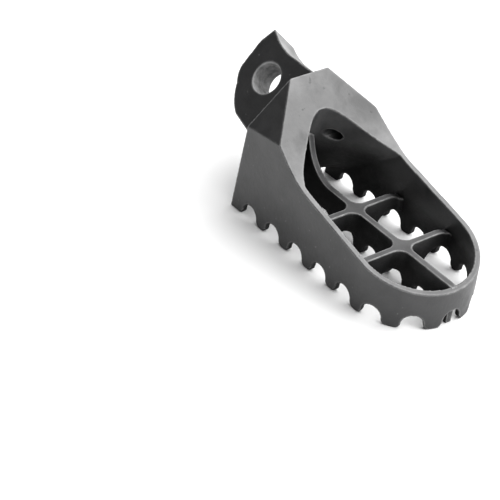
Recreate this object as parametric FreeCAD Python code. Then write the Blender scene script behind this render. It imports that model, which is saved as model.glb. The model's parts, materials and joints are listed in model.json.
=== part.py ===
import FreeCAD, Part
import math
import os

# Cast steel foot peg for a small motorcycle, lying on its saw teeth.
# +X runs from the hinge lug to the rounded tip, +Z is up, +Y is the left side seen from the lug.
# Everything is drawn with the tooth crowns on z = 0 and then moved so that the middle of the
# pivot bore becomes the origin.  Millimetres and degrees throughout.

os.makedirs("parts", exist_ok=True)
V = FreeCAD.Vector

# ---- body outline -----------------------------------------------------------------------
half_width = 20.5          # outside half width of the toothed band
wall = 1.8                 # thickness of the toothed band
inner_half = half_width - wall
left_taper = 0.0225        # the left wall draws in towards the rear by this much per millimetre
tip_centre_x = 53.4        # centre of the round tip
tip_x = tip_centre_x + half_width

# ---- top surfaces -----------------------------------------------------------------------
crease_x = 22.2            # where the gentle rim turns into the steep flange
rim_z_at_crease = 25.3
rim_slope = 0.25           # drop of the rim per millimetre towards the tip
flange_slope = 0.863       # drop of the flange per millimetre towards the tip
flange_thickness = 1.8
flange_bridge = 3.0        # width of the flange behind the cavity
crease_blend = 6.5         # length over which the rim sweeps up into the flange

# ---- back plate and corner facets -------------------------------------------------------
back_top_x = -1.4
back_lean = math.tan(math.radians(7.5))
back_foot_z = 6.5          # the plate stops above the floor between the two walls
top_edge_half = 7.1        # half length of the straight top edge
facet_corner_z = 31.5      # lower rear corner of each facet
facet_front_x = 12.8       # front corner of each facet
facet_thickness = 1.8
left_ease = ((13.8, 1.0, 32.5), (21.0, 0.0, 27.0), (-4.0, 0.0, 31.0))   # (x, depth into the wall, z)

# ---- cavity -----------------------------------------------------------------------------
# Its rear wall leans back towards the floor.  At cavity_high_z it is a parabola in plan, and at
# back_foot_z a nearly straight line with round ends; the wall runs evenly from one to the other.
cavity_high_z = 38.0
cavity_low_x = -4.8
cavity_high_x = 7.6
cavity_high_y = -0.8       # the core sat slightly to the right
cavity_high_spread = 12.0  # (y - cavity_high_y) ** 2 = cavity_high_spread * (x - cavity_high_x)
cavity_low_radius = 11.0
cavity_high_radius = 5.0

# ---- saw teeth --------------------------------------------------------------------------
tooth_pitch = 11.5
tip_pitch = 12.8           # a little wider round the tip
notch_radius = 3.3
crown_radius = 2.0
notch_height = 5.1
first_notch_x = {1: 3.2, 0: 3.2, -1: 2.1}   # left wall, spine, right wall
straight_notches = 5

# ---- grid inside the peg ----------------------------------------------------------------
rib = 2.2                  # thickness of spine and crossbars
rib_top_z = 13.0
crossbar_x = (27.4, 49.4)
hub_fillet = 3.4
hub_reach = rib / 2 + hub_fillet
foot_fillet = 2.4          # flare where a crossbar runs into the wall
bar_end_drop = 2.4         # the bar tops sink where they reach the wall
bar_arches = ((4.9, 6.5), (13.9, 7.9))   # (y, top z) of the arches under each half of a crossbar
bar_arch_radius = 5.0
spine_sweep = ((16.0, 13.0), (10.2, 14.7), (5.9, 19.2), (3.6, 25.0), (2.6, 32.0))

# ---- side hole --------------------------------------------------------------------------
side_hole_diameter = 4.4
side_hole_x = 6.8
side_hole_z = 26.2
side_hole_end_y = 0.5      # the drill comes in from the left and ends in the cavity

# ---- hinge lug --------------------------------------------------------------------------
lug_tilt = 40.0            # tilt of the pivot axis above the floor, seen along the peg
lug_thickness = 9.6
lug_high = 10.0            # upper and lower edges of the lug, measured from the pivot
lug_low = -16.6
bore_diameter = 10.2
pivot = V(-16.6, 0, 33.5)
bore_chamfer = 0.3
nose_slant = 3.2           # the end face of the stop nose slants in towards the far side
bead_radius = 1.4


def flange_z(x):
    return rim_z_at_crease + flange_slope * (crease_x - x)


def rim_z(x):
    return rim_z_at_crease - rim_slope * (x - crease_x)


back_top_z = flange_z(back_top_x)


def back_x(z):
    """Outer face of the back plate at height z."""
    return back_top_x - back_lean * (back_top_z - z)


def half_space(point, normal):
    """A very large block whose face passes through point, lying on the side against normal."""
    size = 400.0
    block = Part.makeBox(size, size, size, V(-size / 2, -size / 2, -size))
    block.Placement = FreeCAD.Placement(point, FreeCAD.Rotation(V(0, 0, 1), normal))
    return block


def between(y_low, y_high):
    return Part.makeBox(200, y_high - y_low, 200, V(-100, y_low, -20))


def along(x_low, x_high):
    return Part.makeBox(x_high - x_low, 200, 200, V(x_low, -100, -20))


def side_y(side, half, x):
    """Y of a side wall face that stands at half beside the tip; side is +1 for left, -1 for right."""
    if side > 0:
        return half - left_taper * (tip_centre_x - x)
    return -half


def racetrack(half, bottom, top):
    """Plan outline of the band: straight sides closed by a half round tip."""
    left = V(tip_centre_x, half, bottom)
    right = V(tip_centre_x, -half, bottom)
    nose = V(tip_centre_x + half, 0, bottom)
    rear_left = V(-60, side_y(1, half, -60), bottom)
    rear_right = V(-60, -half, bottom)
    edges = [
        Part.makeLine(rear_right, right),
        Part.Arc(right, nose, left).toShape(),
        Part.makeLine(left, rear_left),
        Part.makeLine(rear_left, rear_right),
    ]
    return Part.Face(Part.Wire(edges)).extrude(V(0, 0, top - bottom))


def back_normal():
    """Outward normal of the back plate."""
    return V(-1, 0, back_lean).normalize()


def facet_normal(side):
    """Outward normal of one corner facet; side is +1 for left and -1 for right."""
    a = V(back_top_x, side * top_edge_half, back_top_z)
    b = V(facet_front_x, side_y(side, half_width, facet_front_x), flange_z(facet_front_x))
    rear_x = back_x(facet_corner_z)
    c = V(rear_x, side_y(side, half_width, rear_x), facet_corner_z)
    normal = (b - a).cross(c - a).normalize()
    if normal.z < 0:
        normal = normal * -1
    return a, normal


def below_left_ease():
    """Everything inside the narrow flat that eases the left wall into the flange."""
    a, b, c = (V(x, side_y(1, half_width, x) - depth, z) for x, depth, z in left_ease)
    normal = (b - a).cross(c - a).normalize()
    if normal.y < 0:
        normal = normal * -1
    return half_space(a, normal)


def outer_body():
    """The solid envelope of the peg without its lug."""
    low_rear = V(back_x(0), -60, 0)
    low_front = V(tip_x + 5, -60, 0)
    high_front = V(tip_x + 5, -60, rim_z(tip_x + 5))
    high_rear = V(back_top_x, -60, back_top_z)
    crease = V(crease_x, -60, rim_z_at_crease)
    up_flange = V(-1, 0, flange_slope).normalize()
    along_rim = V(1, 0, -rim_slope).normalize()
    half_angle = up_flange.getAngle(along_rim) / 2
    rise = crease_blend * (1 - math.sin(half_angle)) / math.cos(half_angle)
    blend_middle = crease + (up_flange + along_rim).normalize() * rise
    blend_rear = crease + up_flange * crease_blend
    blend_front = crease + along_rim * crease_blend
    edges = [
        Part.makeLine(low_rear, low_front),
        Part.makeLine(low_front, high_front),
        Part.makeLine(high_front, blend_front),
        Part.Arc(blend_front, blend_middle, blend_rear).toShape(),
        Part.makeLine(blend_rear, high_rear),
        Part.makeLine(high_rear, low_rear),
    ]
    profile = Part.Face(Part.Wire(edges)).extrude(V(0, 120, 0))
    body = profile.common(racetrack(half_width, -1, 60))
    for side in (1, -1):
        point, normal = facet_normal(side)
        body = body.common(half_space(point, normal))
    return body.common(below_left_ease())


def cavity_section(z, bow):
    """Plan outline of the cavity at height z; bow(y) is the distance of its rear edge."""
    points = []
    for step in range(-16, 17):
        y = step * (inner_half + 0.5) / 16.0
        points.append(V(bow(y), y, z))
    curve = Part.BSplineCurve()
    curve.interpolate(points)
    ahead_left = V(tip_x + 20, points[-1].y, z)
    ahead_right = V(tip_x + 20, points[0].y, z)
    edges = [
        curve.toShape(),
        Part.makeLine(points[-1], ahead_left),
        Part.makeLine(ahead_left, ahead_right),
        Part.makeLine(ahead_right, points[0]),
    ]
    return edges


def corner_rise(y, radius):
    """How far a rounded corner of the given radius brings the rear edge forward beside a wall."""
    into_corner = max(0.0, abs(y) - (inner_half - radius))
    into_corner = min(into_corner, 0.97 * radius)
    return radius - math.sqrt(radius * radius - into_corner * into_corner)


def low_bow(y):
    """Nearly straight rear edge with round ends."""
    return cavity_low_x + corner_rise(y, cavity_low_radius)


def high_bow(y):
    off_middle = y - cavity_high_y
    return cavity_high_x + off_middle ** 2 / cavity_high_spread + corner_rise(y, cavity_high_radius)


def bow_at(z):
    """Rear edge of the cavity at any height, on the straight lines from low to high."""
    share = (z - back_foot_z) / (cavity_high_z - back_foot_z)
    return lambda y: low_bow(y) + share * (high_bow(y) - low_bow(y))


def cavity():
    """Open space between the walls, closed at the rear by the leaning wall."""
    bottom = Part.Wire(cavity_section(-4, bow_at(-4)))
    top = Part.Wire(cavity_section(48, bow_at(48)))
    return Part.makeLoft([bottom, top], True, True)


def inside_back(depth=0.0):
    """Everything in front of a flat plane set depth behind the middle of the cavity's rear wall."""
    lean = (cavity_high_x - cavity_low_x) / (cavity_high_z - back_foot_z)
    backwards = V(-1, 0, lean).normalize()
    return half_space(V(cavity_high_x, 0, cavity_high_z) + backwards * depth, backwards)


def notch_prism(height, radius, length):
    """One gap between two crowns, drawn in XZ at the origin and extruded along +Y."""
    flare = radius + crown_radius
    spring = height - radius
    diagonal = crown_radius * math.sqrt(0.5)
    edges = [
        Part.makeLine(V(-flare, 0, -3), V(-flare, 0, 0)),
        Part.Arc(V(-flare, 0, 0), V(-flare + diagonal, 0, crown_radius - diagonal),
                 V(-radius, 0, crown_radius)).toShape(),
        Part.Arc(V(-radius, 0, spring), V(0, 0, height), V(radius, 0, spring)).toShape(),
        Part.Arc(V(radius, 0, crown_radius), V(flare - diagonal, 0, crown_radius - diagonal),
                 V(flare, 0, 0)).toShape(),
        Part.makeLine(V(flare, 0, 0), V(flare, 0, -3)),
        Part.makeLine(V(flare, 0, -3), V(-flare, 0, -3)),
    ]
    if abs(spring - crown_radius) > 1e-6:
        edges.insert(2, Part.makeLine(V(-radius, 0, crown_radius), V(-radius, 0, spring)))
        edges.insert(4, Part.makeLine(V(radius, 0, spring), V(radius, 0, crown_radius)))
    wire = Part.Wire(Part.sortEdges(edges)[0])
    return Part.Face(wire).extrude(V(0, length, 0))


def straight_cutters(row):
    """Gaps across one row of teeth; row is +1 for the left wall, 0 for the spine, -1 for the right."""
    cutters = []
    for index in range(straight_notches + (1 if row == 0 else 0)):
        gap = notch_prism(notch_height, notch_radius, 10)
        x = first_notch_x[row] + index * tooth_pitch
        gap.translate(V(x, row * (half_width - 1) - 5, 0))
        cutters.append(gap)
    return cutters


def tip_cutters():
    """Gaps round the half round tip, stepped along its outer face from the middle."""
    cutters = []
    for step in (-2, -1, 0, 1, 2):
        angle = math.degrees(step * tip_pitch / half_width)
        gap = notch_prism(notch_height, notch_radius, 10)
        gap.translate(V(0, half_width - 6, 0))
        gap.rotate(V(0, 0, 0), V(0, 0, 1), angle - 90)
        gap.translate(V(tip_centre_x, 0, 0))
        cutters.append(gap)
    return cutters


def band():
    """The toothed band: envelope less everything inside the wall thickness."""
    return outer_body().cut(racetrack(inner_half, -5, 70))


def side_hole():
    """Drilled from the left through the wall and the corner post, open to the cavity."""
    start = V(side_hole_x, side_hole_end_y, side_hole_z)
    return Part.makeCylinder(side_hole_diameter / 2, 25, start, V(0, 1, 0))


def side_wall(side):
    low, high = (0, 100) if side > 0 else (-100, 0)
    shape = band().common(between(low, high)).common(along(-40, tip_centre_x))
    for gap in straight_cutters(side):
        shape = shape.cut(gap)
    if side > 0:
        shape = shape.cut(side_hole())
    return shape


def tip_band():
    shape = band().common(along(tip_centre_x, tip_x + 10))
    for gap in tip_cutters():
        shape = shape.cut(gap)
    return shape


def core():
    """Envelope between the two side walls."""
    return outer_body().common(racetrack(inner_half, -5, 70)).common(along(-40, tip_centre_x))


def back_plate():
    raised = Part.makeBox(100, 100, 100, V(-50, -50, back_foot_z))
    return core().cut(inside_back()).common(raised).cut(flange_blank()).cut(side_hole())


def under_facet(side):
    """Everything below the skin of one corner facet."""
    point, normal = facet_normal(side)
    return half_space(point - normal * facet_thickness, normal)


def under_flange():
    """Everything below the skin of the flange."""
    normal = V(flange_slope, 0, 1).normalize()
    return half_space(V(crease_x, 0, rim_z_at_crease) - normal * flange_thickness, normal)


def corner_blank():
    """Block in front of the flat middle of the back plate, before the curved cavity is cut."""
    return core().common(inside_back())


def left_or_right(side):
    return between(cavity_high_y, 100) if side > 0 else between(-100, cavity_high_y)


def corner_facet(side):
    blank = corner_blank().common(left_or_right(side)).cut(under_facet(side))
    return blank.cut(cavity())


def flange_blank():
    blank = core().common(inside_back(flange_bridge)).cut(under_flange())
    return blank.common(under_facet(1)).common(under_facet(-1))


def flange_plate():
    """Skin of the flange on both sides of the cavity, joined by a bridge behind it."""
    return flange_blank().cut(cavity())


def corner_post(side):
    """Metal behind the curved cavity, between the flat middle of the back plate and a side wall."""
    raised = Part.makeBox(100, 100, 100, V(-50, -50, back_foot_z))
    blank = corner_blank().common(left_or_right(side)).common(raised)
    blank = blank.common(under_flange()).common(under_facet(side))
    if side > 0:
        blank = blank.cut(side_hole())
    return blank.cut(cavity())


def spine():
    """Whole lengthwise rib, before it is parted at the hubs."""
    rear = back_x(back_foot_z) - 1
    curve = Part.BSplineCurve()
    sweep = [V(x, -rib / 2, z) for x, z in spine_sweep]
    curve.interpolate(Points=sweep, InitialTangent=V(-1, 0, 0), FinalTangent=V(-0.1, 0, 1))
    top_rear = V(rear, -rib / 2, spine_sweep[-1][1])
    front_low = V(tip_x, -rib / 2, 0)
    rear_low = V(rear, -rib / 2, 0)
    front_high = V(tip_x, -rib / 2, rib_top_z)
    edges = [
        Part.makeLine(rear_low, front_low),
        Part.makeLine(front_low, front_high),
        Part.makeLine(front_high, sweep[0]),
        curve.toShape(),
        Part.makeLine(sweep[-1], top_rear),
        Part.makeLine(top_rear, rear_low),
    ]
    shape = Part.Face(Part.Wire(edges)).extrude(V(0, rib, 0))
    shape = shape.common(racetrack(inner_half, -1, 60)).common(cavity())
    below_rim = half_space(V(crease_x, 0, rim_z_at_crease), V(rim_slope, 0, 1))
    shape = shape.common(below_rim.fuse(along(-40, crease_x)))
    for gap in straight_cutters(0):
        shape = shape.cut(gap)
    return shape


def spine_part(x_low, x_high):
    return spine().common(along(x_low, x_high))


def bar_underside(length):
    """Everything to be cut from below a crossbar: two arches on each side of the spine."""
    cutters = []
    for side in (1, -1):
        for y, top in bar_arches:
            arch = Part.makeCylinder(bar_arch_radius, length, V(0, 0, 0), V(1, 0, 0))
            below = Part.makeBox(length, 2 * bar_arch_radius, 20, V(0, -bar_arch_radius, -20))
            arch = arch.fuse(below)
            arch.translate(V(-length / 2, side * y, top - bar_arch_radius))
            cutters.append(arch)
    return cutters


def hub(x):
    """Filleted crossing of the spine and one crossbar."""
    shape = Part.makeBox(2 * hub_reach, 2 * hub_reach, rib_top_z, V(x - hub_reach, -hub_reach, 0))
    for sx in (1, -1):
        for sy in (1, -1):
            corner = V(x + sx * hub_reach, sy * hub_reach, -1)
            shape = shape.cut(Part.makeCylinder(hub_fillet, rib_top_z + 2, corner))
    for arch in bar_underside(2 * hub_reach):
        arch.translate(V(x, 0, 0))
        shape = shape.cut(arch)
    stem = Part.makeBox(2 * hub_reach, rib, rib_top_z, V(x - hub_reach, -rib / 2, 0))
    shape = shape.fuse(stem).removeSplitter()
    for gap in straight_cutters(0):
        shape = shape.cut(gap)
    return shape


def crossbar(x, side):
    """Half of one crossbar, from the hub to the wall, with a flared foot at the wall."""
    wall_y = abs(side_y(side, inner_half, x))
    length = inner_half - hub_reach
    bar = Part.makeBox(rib, length, rib_top_z, V(-rib / 2, hub_reach, 0))
    foot_width = rib + 2 * foot_fillet
    foot = Part.makeBox(foot_width, foot_fillet + 0.5, rib_top_z,
                        V(-foot_width / 2, wall_y - foot_fillet, 0))
    for sx in (1, -1):
        corner = V(sx * foot_width / 2, wall_y - foot_fillet, -1)
        foot = foot.cut(Part.makeCylinder(foot_fillet, rib_top_z + 2, corner))
    shape = bar.fuse(foot).removeSplitter()
    run = 5.5
    radius = (run * run + bar_end_drop * bar_end_drop) / (2 * bar_end_drop)
    start = V(-20, wall_y - run, rib_top_z)
    middle_y = radius * math.sin(0.5 * math.asin(run / radius))
    middle_z = radius - radius * math.cos(0.5 * math.asin(run / radius))
    bend = Part.Arc(start, V(-20, wall_y - run + middle_y, rib_top_z - middle_z),
                    V(-20, wall_y, rib_top_z - bar_end_drop)).toShape()
    end = V(-20, wall_y + 1, rib_top_z - bar_end_drop)
    lid = [
        bend,
        Part.makeLine(V(-20, wall_y, rib_top_z - bar_end_drop), end),
        Part.makeLine(end, V(-20, wall_y + 1, rib_top_z + 5)),
        Part.makeLine(V(-20, wall_y + 1, rib_top_z + 5), V(-20, wall_y - run, rib_top_z + 5)),
        Part.makeLine(V(-20, wall_y - run, rib_top_z + 5), start),
    ]
    shape = shape.cut(Part.Face(Part.Wire(lid)).extrude(V(40, 0, 0)))
    for arch in bar_underside(20):
        shape = shape.cut(arch)
    if side < 0:
        shape = shape.mirror(V(0, 0, 0), V(0, 1, 0))
    shape.translate(V(x, 0, 0))
    return shape.common(racetrack(inner_half, -5, 70))


def lug_frame():
    """Pivot axis (pointing to the lower right and up) and the up direction in the lug plate."""
    tilt = math.radians(lug_tilt)
    axis = V(0, -math.cos(tilt), math.sin(tilt))
    rise = V(0, math.sin(tilt), math.cos(tilt))
    return axis, rise


def lug_point(x, up):
    """A point on the far face of the lug, measured from the pivot along X and up the plate."""
    axis, rise = lug_frame()
    return pivot - axis * (lug_thickness / 2) + V(x, 0, 0) + rise * up


def nose_edge():
    """Both ends of the straight end of the stop nose."""
    return lug_point(-9.0, 13.8), lug_point(-11.1, 8.4)


def lug_outline():
    """Side view of the lug: stop nose at the upper end, rounded heel at the lower end."""
    nose_in = lug_point(-7.6, 13.1)
    nose, shoulder = nose_edge()
    end_low = lug_point(-11.7, -1.4)
    heel = lug_point(-9.0, -7.0)
    heel_low = lug_point(-2.0, -14.7)
    root_low = lug_point(6.0, lug_low)
    return [
        Part.makeLine(lug_point(19, lug_high), lug_point(3.5, lug_high)),
        Part.Arc(lug_point(3.5, lug_high), lug_point(-2.4, 10.9), nose_in).toShape(),
        Part.makeLine(nose_in, nose),
        Part.makeLine(nose, shoulder),
        Part.makeLine(shoulder, end_low),
        Part.Arc(end_low, lug_point(-10.9, -4.2), heel).toShape(),
        Part.Arc(heel, lug_point(-6.2, -11.3), heel_low).toShape(),
        Part.makeLine(heel_low, root_low),
        Part.makeLine(root_low, lug_point(19, lug_low)),
        Part.makeLine(lug_point(19, lug_low), lug_point(19, lug_high)),
    ]


def behind_back():
    return half_space(V(back_top_x, 0, back_top_z), back_normal() * -1)


def hinge_lug():
    axis, rise = lug_frame()
    blank = Part.Face(Part.Wire(lug_outline())).extrude(axis * lug_thickness)
    nose, shoulder = nose_edge()
    slant = axis * -lug_thickness + V(nose_slant, 0, 0)
    outward = (shoulder - nose).cross(slant).normalize()
    if outward.x > 0:
        outward = outward * -1
    blank = blank.common(half_space(nose + axis * lug_thickness, outward))
    half = lug_thickness / 2
    bore = Part.makeCylinder(bore_diameter / 2, lug_thickness + 4, pivot - axis * (half + 2), axis)
    shape = blank.common(behind_back()).cut(bore)
    radius = bore_diameter / 2
    for sign in (1, -1):
        mouth = Part.makeCone(radius, radius + 2 * bore_chamfer, 2 * bore_chamfer,
                              pivot + axis * (sign * (half - bore_chamfer)), axis * sign)
        shape = shape.cut(mouth)
    return shape


def weld_bead(up):
    """Weld bead across one narrow side of the lug where it meets the back plate."""
    axis, rise = lug_frame()
    far = lug_point(0, up)
    near = far + axis * lug_thickness
    start = V(back_x(far.z), far.y, far.z)
    end = V(back_x(near.z), near.y, near.z)
    rod = Part.makeCylinder(bead_radius, (end - start).Length, start, end - start)
    solid_lug = Part.Face(Part.Wire(lug_outline())).extrude(axis * lug_thickness)
    below_top = half_space(V(0, 0, back_top_z - 1.2), V(0, 0, 1))
    short_of_face = half_space(near - axis * 0.4, axis)
    return rod.cut(solid_lug).common(behind_back()).common(below_top).common(short_of_face)


def largest_solid(shape):
    return max(shape.Solids, key=lambda solid: solid.Volume)


hub_ends = [(x - hub_reach, x + hub_reach) for x in crossbar_x]

pieces = {
    "hinge_lug": hinge_lug(),
    "upper_weld_bead": weld_bead(lug_high),
    "lower_weld_bead": weld_bead(lug_low),
    "back_plate": back_plate(),
    "left_corner_facet": corner_facet(1),
    "right_corner_facet": corner_facet(-1),
    "flange_plate": flange_plate(),
    "left_corner_post": corner_post(1),
    "right_corner_post": corner_post(-1),
    "left_toothed_wall": side_wall(1),
    "right_toothed_wall": side_wall(-1),
    "toothed_tip_band": tip_band(),
    "spine_rear": spine_part(-40, hub_ends[0][0]),
    "spine_middle": spine_part(hub_ends[0][1], hub_ends[1][0]),
    "spine_front": spine_part(hub_ends[1][1], 200),
    "rear_hub": hub(crossbar_x[0]),
    "front_hub": hub(crossbar_x[1]),
    "rear_crossbar_left": crossbar(crossbar_x[0], 1),
    "rear_crossbar_right": crossbar(crossbar_x[0], -1),
    "front_crossbar_left": crossbar(crossbar_x[1], 1),
    "front_crossbar_right": crossbar(crossbar_x[1], -1),
}

for name, shape in pieces.items():
    solid = largest_solid(shape).copy()
    solid.translate(pivot * -1)
    solid.exportStep("parts/" + name + ".step")
    print(name, [round(x.Volume, 1) for x in shape.Solids], solid.isValid(), solid.BoundBox)
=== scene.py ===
import json
import math
import bmesh
import bpy
import numpy as np
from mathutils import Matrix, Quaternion, Vector


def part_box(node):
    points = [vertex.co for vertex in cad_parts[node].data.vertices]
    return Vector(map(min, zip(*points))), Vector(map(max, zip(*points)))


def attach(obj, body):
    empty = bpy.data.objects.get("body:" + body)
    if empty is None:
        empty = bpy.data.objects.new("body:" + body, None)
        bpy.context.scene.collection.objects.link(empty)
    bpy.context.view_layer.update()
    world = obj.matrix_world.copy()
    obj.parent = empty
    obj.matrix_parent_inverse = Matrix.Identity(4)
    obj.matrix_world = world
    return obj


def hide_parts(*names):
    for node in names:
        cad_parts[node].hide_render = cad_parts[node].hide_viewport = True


# A cast, painted foot peg lying on its saw teeth.  Metres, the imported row's frame:
# origin in the middle of the pivot bore, +X to the tip, +Z up, +Y to the left.

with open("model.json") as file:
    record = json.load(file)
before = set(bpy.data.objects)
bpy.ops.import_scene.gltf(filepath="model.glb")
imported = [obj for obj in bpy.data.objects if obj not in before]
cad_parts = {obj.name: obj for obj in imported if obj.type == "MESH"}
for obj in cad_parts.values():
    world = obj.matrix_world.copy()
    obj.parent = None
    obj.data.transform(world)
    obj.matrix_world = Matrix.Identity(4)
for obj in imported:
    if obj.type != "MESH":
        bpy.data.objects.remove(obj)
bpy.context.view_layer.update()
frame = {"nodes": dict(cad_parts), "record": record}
scene = bpy.context.scene
scene.view_settings.view_transform = "Standard"
MM = 0.001
bore_mount = next(m for m in frame["record"]["mounts"] if m["name"] == "pivot_bore")
pivot_axis = tuple(bore_mount["axis"])
bore_radius = bore_mount["dims"]["r_mm"] * MM
corner_way = tuple(Vector((-0.082, -0.719, 0.691)).normalized())   # the way the right corner facet looks; that facet is darkened as painted shade


# ---------------------------------------------------------------- node material helpers
class Graph:
    """Short names for building one node material."""

    def __init__(self, name):
        self.material = bpy.data.materials.new(name)
        self.material.use_nodes = True
        self.tree = self.material.node_tree
        self.shader = self.tree.nodes["Principled BSDF"]
        self.position = self.add("ShaderNodeTexCoord").outputs["Object"]
        self.pointiness = self.add("ShaderNodeNewGeometry").outputs["Pointiness"]
        self.normal = self.add("ShaderNodeNewGeometry").outputs["Normal"]

    def add(self, kind, **settings):
        node = self.tree.nodes.new(kind)
        for key, value in settings.items():
            setattr(node, key, value)
        return node

    def link(self, source, target):
        if isinstance(source, (int, float)):
            target.default_value = source
        elif isinstance(source, tuple):
            target.default_value = (*source, 1.0)[: len(target.default_value)]
        else:
            self.tree.links.new(source, target)

    def noise(self, scale, detail=4.0, roughness=0.55, stretch=None, distortion=0.0):
        node = self.add("ShaderNodeTexNoise")
        node.inputs["Scale"].default_value = scale
        node.inputs["Detail"].default_value = detail
        node.inputs["Roughness"].default_value = roughness
        node.inputs["Distortion"].default_value = distortion
        source = self.position
        if stretch:
            mapping = self.add("ShaderNodeMapping")
            mapping.inputs["Rotation"].default_value = stretch[0]
            mapping.inputs["Scale"].default_value = stretch[1]
            self.link(self.position, mapping.inputs["Vector"])
            source = mapping.outputs["Vector"]
        self.link(source, node.inputs["Vector"])
        return node.outputs["Fac"]

    def ramp(self, value, low, high, out_low=0.0, out_high=1.0):
        node = self.add("ShaderNodeMapRange", interpolation_type="SMOOTHSTEP")
        self.link(value, node.inputs["Value"])
        node.inputs["From Min"].default_value = low
        node.inputs["From Max"].default_value = high
        node.inputs["To Min"].default_value = out_low
        node.inputs["To Max"].default_value = out_high
        return node.outputs["Result"]

    def math(self, operation, a, b=0.0):
        node = self.add("ShaderNodeMath", operation=operation)
        self.link(a, node.inputs[0])
        self.link(b, node.inputs[1])
        return node.outputs["Value"]

    def dot(self, a, b):
        node = self.add("ShaderNodeVectorMath", operation="DOT_PRODUCT")
        self.link(a, node.inputs[0])
        self.link(b, node.inputs[1])
        return node.outputs["Value"]

    def mix(self, factor, a, b):
        node = self.add("ShaderNodeMix", data_type="RGBA")
        self.link(factor, node.inputs["Factor"])
        self.link(a, node.inputs[6])
        self.link(b, node.inputs[7])
        return node.outputs[2]

    def bump(self, height, strength, distance, before=None):
        node = self.add("ShaderNodeBump")
        node.inputs["Strength"].default_value = strength
        node.inputs["Distance"].default_value = distance
        self.link(height, node.inputs["Height"])
        if before is not None:
            self.link(before, node.inputs["Normal"])
        return node.outputs["Normal"]


def scaled(colour, factor):
    return tuple(factor * part for part in colour)


def rubbed_and_lit_faces(g, rub_and_light, rub_and_light_way, height, blotch):
    """How far each point is made lighter, partly paint brushed off by handling and partly a painted
    highlight on the faces turned to the light, and the streaks left by the rubbing.
    """
    strokes = g.noise(170.0, 5.0, 0.7, stretch=((0.0, 0.0, 0.5), (1.0, 0.22, 1.0)))
    # Faces that look along this way are lighter: paint brushed off by handling, and a painted highlight
    # where the lamp falls on them.
    upward = g.ramp(g.dot(g.normal, rub_and_light_way), 0.80, 0.90)
    above_grid = g.ramp(height, -0.0225, -0.0215)
    uneven = g.math("ADD", g.math("MULTIPLY", strokes, 0.5), g.math("MULTIPLY", blotch, 0.5))
    streak = g.ramp(uneven, 0.38, 0.62, 0.74, 1.0)
    reached = g.math("MULTIPLY", g.math("MULTIPLY", upward, above_grid), streak)
    return g.math("MULTIPLY", reached, rub_and_light), streak


def rubbed_and_lit_tone(g, worn_and_highlight, height, clouds):
    """Colour of the lighter faces, partly worn paint and partly a painted light gradient: lighter along the
    top edge and low down.
    """
    lower_down = g.ramp(height, 0.003, -0.008, 0.0, 0.62)
    top_edge = g.ramp(height, 0.006, 0.0115, 0.0, 0.36)
    uneven = g.ramp(clouds, 0.40, 0.62, 0.0, 0.36)
    rub_and_light_amount = g.math("ADD", g.math("ADD", lower_down, top_edge), uneven)
    return g.mix(rub_and_light_amount, scaled(worn_and_highlight, 0.34), scaled(worn_and_highlight, 0.92))


def worn_and_highlit_edges(g, edge_wear_and_light):
    """Where paint has rubbed off the outward edges, in patches; the same lighter edges also stand as a
    painted highlight.
    """
    bevel = g.add("ShaderNodeBevel", samples=6)
    bevel.inputs["Radius"].default_value = 0.9 * MM
    turned = g.dot(g.normal, bevel.outputs["Normal"])
    edge = g.math("MULTIPLY", g.ramp(turned, 0.997, 0.97), g.ramp(g.pointiness, 0.498, 0.510))
    patchy = g.ramp(g.noise(420.0, 5.0, 0.7), 0.34, 0.60, 0.35, 1.0)
    return g.math("MULTIPLY", g.math("MULTIPLY", edge, patchy), edge_wear_and_light)


def painted_shade_in_hollows(g):
    """How dark each point is painted as shade, by how little open space it sees."""
    open_sky = g.add("ShaderNodeAmbientOcclusion", samples=8)
    open_sky.inputs["Distance"].default_value = 30.0 * MM
    return g.ramp(open_sky.outputs["AO"], 0.62, 0.27, 0.0, 0.92)


def bore_wall(g, colour):
    """The colour given, with the lighter speckled wall of the pivot bore laid over it."""
    across = g.add("ShaderNodeVectorMath", operation="CROSS_PRODUCT")
    g.link(g.position, across.inputs[0])
    across.inputs[1].default_value = pivot_axis
    reach = g.add("ShaderNodeVectorMath", operation="LENGTH")
    g.link(across.outputs["Vector"], reach.inputs[0])
    inside = g.ramp(reach.outputs["Value"], bore_radius + 0.45 * MM, bore_radius + 0.15 * MM)
    speckle = g.ramp(g.noise(500.0, 5.0, 0.6), 0.30, 0.70)
    return g.mix(inside, colour, g.mix(speckle, (0.16, 0.16, 0.16), (0.30, 0.30, 0.30)))


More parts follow.
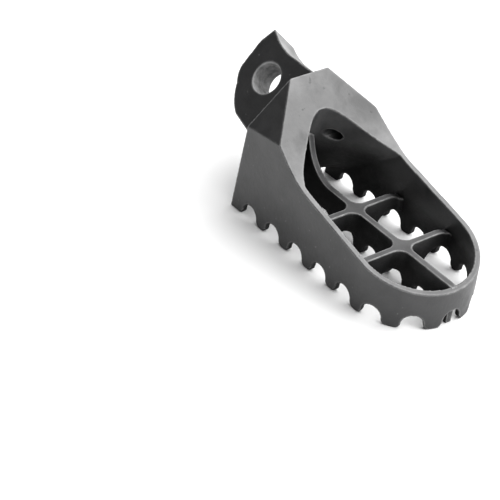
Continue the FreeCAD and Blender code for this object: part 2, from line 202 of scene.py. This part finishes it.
def cast_paint(name, dark, light, worn_and_highlight, rub_and_light=0.0, rub_and_light_way=(0.0, 0.0, 1.0), sheen=0.42, edge_wear_and_light=0.85, bore=False):
    """Satin paint over a casting: uneven tone, rubbed edges with a painted edge highlight, orange peel and
    casting grain, with painted shade in hollows, near the floor and on the right corner facet.

    The rub amount is how far the faces that look along the rub direction are made lighter, partly paint
    brushed off by handling and partly a painted highlight where the light falls; bore adds the lighter,
    speckled wall of the pivot bore.
    """
    g = Graph(name)
    clouds = g.noise(55.0, 5.0, 0.6)
    blotch = g.noise(210.0, 4.0, 0.65, distortion=0.6)
    fine = g.noise(1500.0, 3.0, 0.6)
    place = g.add("ShaderNodeSeparateXYZ")
    g.link(g.position, place.inputs["Vector"])
    height = place.outputs["Z"]

    tone = g.math("ADD", g.math("MULTIPLY", clouds, 0.6), g.math("MULTIPLY", blotch, 0.4))
    colour = g.mix(g.ramp(tone, 0.36, 0.64), dark, light)
    # Faces turned to the light made lighter: partly brushed paint, partly a painted highlight and light
    # gradient.
    rubbed_and_lit, streak = rubbed_and_lit_faces(g, rub_and_light, rub_and_light_way, height, blotch)
    colour = g.mix(rubbed_and_lit, colour, rubbed_and_lit_tone(g, worn_and_highlight, height, clouds))
    # Painted shade: walls darker towards the floor.
    shade_near_floor = g.ramp(height, -0.010, -0.030, 0.0, 0.6)
    colour = g.mix(shade_near_floor, colour, scaled(dark, 0.6))
    # Painted shade: the right corner facet darkened, standing in for the dark surroundings it reflects.
    corner_facet_shade = g.ramp(g.dot(g.normal, corner_way), 0.93, 0.97, 0.0, 0.75)
    colour = g.mix(corner_facet_shade, colour, scaled(dark, 0.3))
    # Outward edges lighter: rubbed paint and a painted edge highlight.
    edge_wear_and_highlight = worn_and_highlit_edges(g, edge_wear_and_light)
    colour = g.mix(edge_wear_and_highlight, colour, worn_and_highlight)
    specks = g.math("MULTIPLY", g.ramp(g.noise(800.0, 2.0, 0.5), 0.72, 0.78), 0.22)
    colour = g.mix(specks, colour, worn_and_highlight)
    nicks = g.ramp(g.noise(330.0, 3.0, 0.6), 0.66, 0.72)
    colour = g.mix(g.math("MULTIPLY", nicks, g.math("MULTIPLY", rubbed_and_lit, 0.6)), colour, dark)
    # Painted shade: hollows and the inside of the cavity darkened by ambient occlusion.
    hollow_shade = painted_shade_in_hollows(g)
    colour = g.mix(hollow_shade, colour, (0.004, 0.004, 0.004))
    # Painted shade in creases and concave corners.
    crease_shade = g.ramp(g.pointiness, 0.49, 0.43, 0.0, 0.55)
    colour = g.mix(crease_shade, colour, (0.010, 0.010, 0.010))
    if bore:
        colour = bore_wall(g, colour)
    g.link(colour, g.shader.inputs["Base Color"])

    rough = g.ramp(blotch, 0.3, 0.7, sheen - 0.07, sheen + 0.08)
    rough = g.math("ADD", rough, g.math("MULTIPLY", edge_wear_and_highlight, -0.08))
    rough = g.math("ADD", rough, g.math("MULTIPLY", hollow_shade, 0.25))
    g.link(rough, g.shader.inputs["Roughness"])
    less_rubbed_and_lit = g.math("SUBTRACT", 1.0, g.math("MULTIPLY", rubbed_and_lit, 0.65))
    shine = g.math("MULTIPLY", g.ramp(hollow_shade, 0.0, 0.85, 0.55, 0.08), less_rubbed_and_lit)
    g.link(shine, g.shader.inputs["Specular IOR Level"])

    normal = g.bump(g.noise(700.0, 3.0, 0.5), 0.16, 0.0004)
    normal = g.bump(g.noise(2600.0, 2.0, 0.5), 0.08, 0.0002, normal)
    normal = g.bump(g.math("ADD", fine, g.math("MULTIPLY", streak, rubbed_and_lit)), 0.07, 0.0003, normal)
    g.link(normal, g.shader.inputs["Normal"])
    return g.material


body_paint = cast_paint(
    "satin_cast_paint", (0.022, 0.022, 0.023), (0.050, 0.050, 0.051), (0.27, 0.27, 0.27),
    rub_and_light=0.85, rub_and_light_way=(0.45, 0.0, 0.893))
grid_paint = cast_paint(
    "satin_grid_paint", (0.028, 0.028, 0.029), (0.050, 0.050, 0.051), (0.32, 0.32, 0.32), rub_and_light=0.28)
lug_paint = cast_paint(
    "satin_lug_paint", (0.019, 0.019, 0.020), (0.034, 0.034, 0.035), (0.42, 0.42, 0.42),
    rub_and_light=1.0, rub_and_light_way=(0.1, 0.64, 0.76), sheen=0.5, edge_wear_and_light=0.6, bore=True)
bead_paint = cast_paint(
    "satin_bead_paint", (0.020, 0.020, 0.021), (0.038, 0.038, 0.039), (0.16, 0.16, 0.16))


# ---------------------------------------------------------------- cast pieces
def joined_copy(nodes, move=None):
    """One mesh holding copies of the named members, with move applied to their points.

    Each member is grown by a few hundredths of a millimetre, so that touching members overlap.
    """
    work = bmesh.new()
    for node in nodes:
        member = bmesh.new()
        member.from_mesh(frame["nodes"][node].data)
        bmesh.ops.remove_doubles(member, verts=member.verts, dist=1e-6)
        bmesh.ops.recalc_face_normals(member, faces=member.faces)
        member.normal_update()
        for vertex in member.verts:
            vertex.co += vertex.normal * 0.03 * MM
            if move:
                vertex.co = move(vertex.co.copy())
        grown = bpy.data.meshes.new("grown")
        member.to_mesh(grown)
        member.free()
        work.from_mesh(grown)
        bpy.data.meshes.remove(grown)
    mesh = bpy.data.meshes.new("work")
    work.to_mesh(mesh)
    work.free()
    return mesh


def relaxed(mesh, rounds, strength=0.5):
    """Rounds the edges of a dense mesh evenly, with a counter step so that walls keep their thickness."""
    count = len(mesh.vertices)
    points = np.empty(count * 3, np.float32)
    mesh.vertices.foreach_get("co", points)
    points = points.reshape(-1, 3).astype(np.float64)
    ends = np.empty(len(mesh.edges) * 2, np.int32)
    mesh.edges.foreach_get("vertices", ends)
    ends = ends.reshape(-1, 2)
    degree = np.maximum(np.bincount(ends.ravel(), minlength=count), 1)[:, None]
    for _ in range(rounds):
        for step in (strength, -strength * 0.92):
            total = np.zeros_like(points)
            for axis in range(3):
                total[:, axis] = np.bincount(ends[:, 0], points[ends[:, 1], axis], count)
                total[:, axis] += np.bincount(ends[:, 1], points[ends[:, 0], axis], count)
            points += step * (total / degree - points)
    mesh.vertices.foreach_set("co", points.astype(np.float32).ravel())
    mesh.update()


def cast_piece(name, nodes, material, cell, rounds, keep, move=None):
    """A member or group of members as one rounded casting that stands for those nodes."""
    rough = bpy.data.objects.new(name + "_rough", joined_copy(nodes, move))
    scene.collection.objects.link(rough)
    remesh = rough.modifiers.new("cells", "REMESH")
    remesh.mode = "VOXEL"
    remesh.voxel_size = cell
    remesh.adaptivity = 0.0
    depsgraph = bpy.context.evaluated_depsgraph_get()
    dense = bpy.data.meshes.new_from_object(rough.evaluated_get(depsgraph))
    bpy.data.objects.remove(rough)
    relaxed(dense, rounds)
    piece = bpy.data.objects.new(name, dense)
    scene.collection.objects.link(piece)
    thin = piece.modifiers.new("thin", "DECIMATE")
    thin.ratio = keep
    depsgraph = bpy.context.evaluated_depsgraph_get()
    final = bpy.data.meshes.new_from_object(piece.evaluated_get(depsgraph))
    piece.modifiers.clear()
    piece.data = final
    final.materials.clear()
    final.materials.append(material)
    final.polygons.foreach_set("use_smooth", [True] * len(final.polygons))
    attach(piece, "root")
    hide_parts(*nodes)


inner_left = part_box("left_toothed_wall")[0].y
tip_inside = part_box("spine_front")[1].x
spine_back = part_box("spine_rear")[0].x


def grid_ends(point):
    """Lets the ends of the ribs run a little way into the walls they are cast onto."""
    if abs(point.y) > inner_left - 0.06 * MM:
        point.y += math.copysign(0.8 * MM, point.y)
    if point.x > tip_inside - 0.6 * MM:
        point.x += 0.8 * MM
    if point.x < spine_back + 4.0 * MM:
        point.x -= 1.2 * MM
    return point


shell_nodes = [
    "back_plate", "left_corner_facet", "right_corner_facet", "flange_plate", "left_corner_post",
    "right_corner_post", "left_toothed_wall", "right_toothed_wall", "toothed_tip_band",
]
grid_nodes = [
    "spine_rear", "spine_middle", "spine_front", "rear_hub", "front_hub", "rear_crossbar_left",
    "rear_crossbar_right", "front_crossbar_left", "front_crossbar_right",
]
cell = 0.26 * MM
cast_piece("toothed_shell", shell_nodes, body_paint, cell, 9, 0.45)
cast_piece("rib_grid", grid_nodes, grid_paint, cell, 5, 0.45, grid_ends)
cast_piece("tilted_hinge_lug", ["hinge_lug"], lug_paint, cell, 6, 0.45)
cast_piece(
    "weld_round_lug", ["upper_weld_bead", "lower_weld_bead"], bead_paint, cell, 2, 0.7)


# ---------------------------------------------------------------- floor, light and camera
def plain_floor():
    g = Graph("pale_floor")
    tone = g.ramp(g.noise(3.0, 2.0), 0.3, 0.7)
    g.link(g.mix(tone, (0.86, 0.86, 0.86), (0.88, 0.88, 0.88)), g.shader.inputs["Base Color"])
    g.shader.inputs["Roughness"].default_value = 0.9
    g.shader.inputs["Specular IOR Level"].default_value = 0.1
    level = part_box("toothed_tip_band")[0].z
    half = 4.0
    corners = [(-half, -half, level), (half, -half, level), (half, half, level), (-half, half, level)]
    mesh = bpy.data.meshes.new("floor")
    mesh.from_pydata(corners, [], [(0, 1, 2, 3)])
    mesh.materials.append(g.material)
    floor = bpy.data.objects.new("floor", mesh)
    scene.collection.objects.link(floor)


def soft_box(name, direction, distance, size, power):
    lamp = bpy.data.lights.new(name, "AREA")
    lamp.shape = "RECTANGLE"
    lamp.size, lamp.size_y = size
    lamp.energy = power
    holder = bpy.data.objects.new(name, lamp)
    scene.collection.objects.link(holder)
    where = Vector(direction).normalized()
    holder.location = where * distance + Vector((0.035, 0, -0.01))
    holder.rotation_mode = "QUATERNION"
    holder.rotation_quaternion = (-where).to_track_quat("-Z", "Y")


plain_floor()
soft_box("overhead", (0.25, 0.44, 0.86), 0.95, (1.6, 1.6), 30.0)
soft_box("front_fill", (1.0, -0.22, 0.10), 1.30, (1.2, 0.7), 5.5)
soft_box("side_fill", (0.75, 0.62, 0.20), 1.20, (1.0, 0.6), 5.0)
world = bpy.data.worlds.new("studio")
world.use_nodes = True
world.node_tree.nodes["Background"].inputs["Color"].default_value = (1, 1, 1, 1)
world.node_tree.nodes["Background"].inputs["Strength"].default_value = 0.26
scene.world = world

camera = bpy.data.objects.new("camera", bpy.data.cameras.new("camera"))
scene.collection.objects.link(camera)
camera.data.sensor_width = 36.0
camera.data.lens = 130.5
camera.data.clip_start = 0.01
camera.location = (0.37024, -0.31908, 0.29168)
azimuth, elevation, roll = (math.radians(angle) for angle in (49.47, 36.13, 6.45))
level = math.cos(elevation)
look = Vector((-math.sin(azimuth) * level, math.cos(azimuth) * level, -math.sin(elevation)))
camera.rotation_mode = "QUATERNION"
camera.rotation_quaternion = look.to_track_quat("-Z", "Y") @ Quaternion((0, 0, 1), roll)
scene.camera = camera
